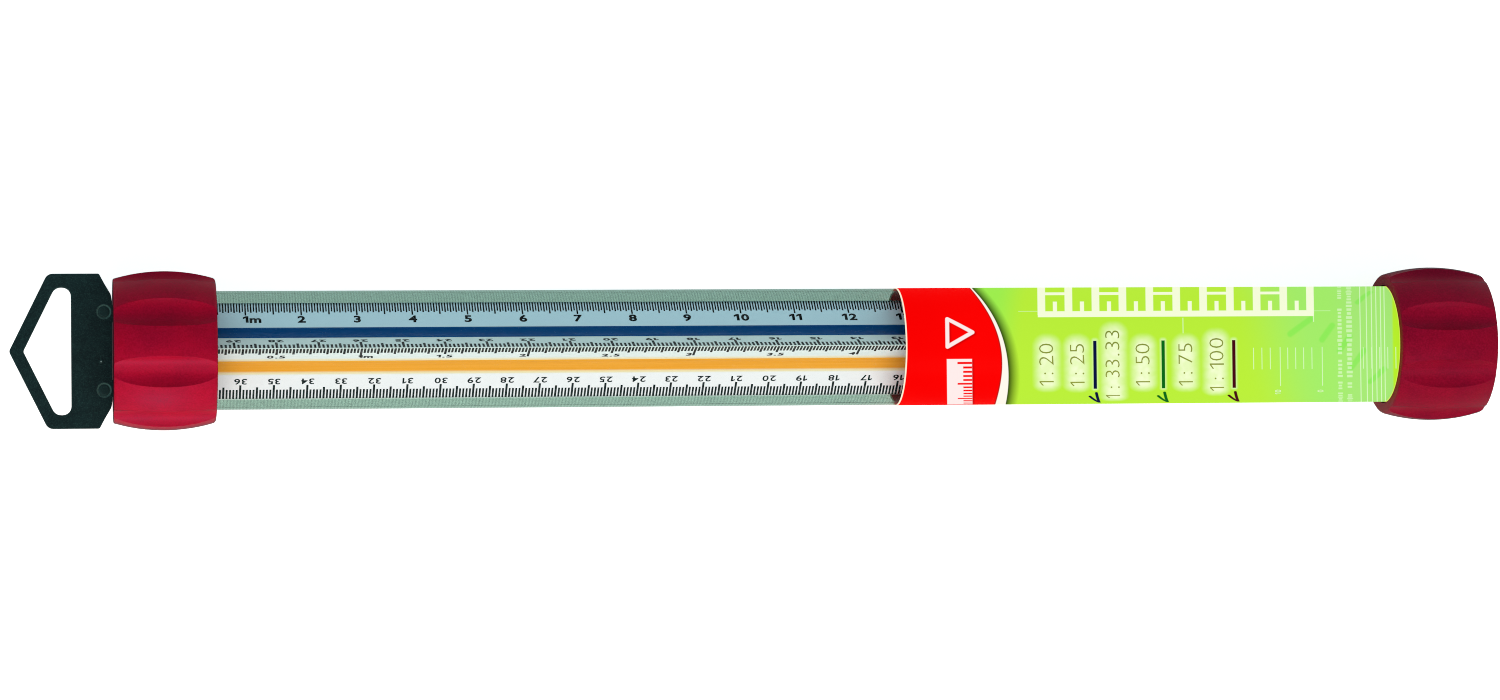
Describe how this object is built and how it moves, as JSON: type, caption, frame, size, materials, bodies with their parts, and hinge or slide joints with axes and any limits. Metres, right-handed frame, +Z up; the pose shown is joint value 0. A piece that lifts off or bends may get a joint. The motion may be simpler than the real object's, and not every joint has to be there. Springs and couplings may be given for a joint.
{
  "type": "triangular scale ruler",
  "caption": "Three-sided drafting scale in a clear storage tube with fluted end caps, a hanging tab and a wrap-round label.",
  "frame": {"origin": "centre of the plain end cap's flat outer face", "axes": "+X along the tube's axis, out of the plain end cap; +Z up with the case lying on its side and one ridge of the scale pointing up; the blue side of the scale faces +Y and up, the orange side -Y and up"},
  "size_m": [0.3607, 0.0378, 0.0378],
  "materials": {
    "clear_plastic": "clear extruded plastic with a faint green tint",
    "label_film": "printed film, semi-gloss",
    "red_plastic": "soft satin moulding",
    "dark_plastic": "fine matt texture",
    "white_plastic": "satin, printed graduations",
    "blue_inlay": "satin",
    "orange_inlay": "satin",
    "green_inlay": "satin"
  },
  "bodies": {
    "tube": {"tube": "clear_plastic", "label": "label_film"},
    "ruler": {"scale_body": "white_plastic", "blue_stripe": "blue_inlay", "orange_stripe": "orange_inlay", "green_stripe": "green_inlay"},
    "hanger_cap": {"hanger_cap": "red_plastic", "hang_tab": "dark_plastic"},
    "end_cap": {"end_cap": "red_plastic"}
  },
  "joints": [
    {"name": "ruler_slide", "type": "slide", "parent": "tube", "child": "ruler", "axis": [1, 0, 0], "range_m": [0, 0.289]},
    {"name": "end_cap_slide", "type": "slide", "parent": "tube", "child": "end_cap", "axis": [1, 0, 0], "range_m": [0, 0.34]},
    {"name": "hanger_cap_slide", "type": "slide", "parent": "tube", "child": "hanger_cap", "axis": [-1, 0, 0], "range_m": [0, 0.02]}
  ],
  "couplings": [
    {"joint": "end_cap_slide", "follows": "ruler_slide", "ratio": 1.1765}
  ]
}
